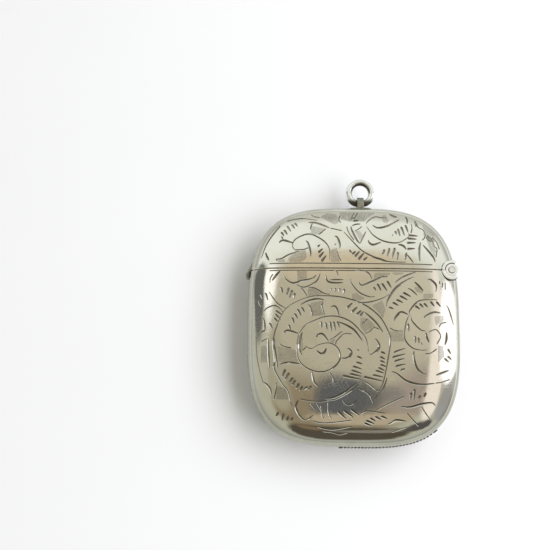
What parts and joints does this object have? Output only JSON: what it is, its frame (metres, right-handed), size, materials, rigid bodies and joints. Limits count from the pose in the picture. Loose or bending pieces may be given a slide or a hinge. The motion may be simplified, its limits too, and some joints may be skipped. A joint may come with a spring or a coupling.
{
  "type": "vesta case",
  "caption": "Rounded-square silver pocket match case with engraved scroll foliage, sprung side-hinged lid, thumb piece, striker let into the base and a swinging suspension ring.",
  "frame": {"origin": "middle of the flat worn on the back, which the case lies on", "axes": "+Z out of the engraved front face, +Y towards the lid and its ring, +X towards the hinge"},
  "size_m": [0.0445, 0.0572, 0.012],
  "materials": {
    "silver": "old polished silver, soft satin from handling, dark tarnish in the cuts",
    "gilt": "worn gilt wash on silver",
    "striker": "ribbed silver, darkened by use",
    "spring_steel": "blued spring steel, worn",
    "pin_wire": "drawn wire, ends filed flush"
  },
  "bodies": {
    "case": {"body_front_shell": "silver", "body_back_shell": "silver", "mouth_collar": "gilt", "striker_strip": "striker", "body_joint_bearer": "silver", "body_knuckle_front": "silver", "body_knuckle_rear": "silver", "hinge_pin": "pin_wire", "lid_spring": "spring_steel", "spring_keeper": "silver"},
    "lid": {"lid_front_shell": "silver", "lid_back_shell": "silver", "lid_joint_bearer": "silver", "lid_knuckle": "silver", "thumb_piece": "silver", "ring_pad": "silver", "ring_staple": "silver"},
    "ring": {"suspension_ring": "silver"}
  },
  "joints": [
    {"name": "lid_hinge", "type": "hinge", "parent": "case", "child": "lid", "pos_m": [0.02013, 0.0111, 0.00598], "axis": [0, 0, -1], "range_deg": [0, 95]},
    {"name": "ring_swing", "type": "hinge", "parent": "lid", "child": "ring", "pos_m": [0.0018, 0.02647, 0.00598], "axis": [1, 0, 0], "range_deg": [-95, 95]}
  ]
}
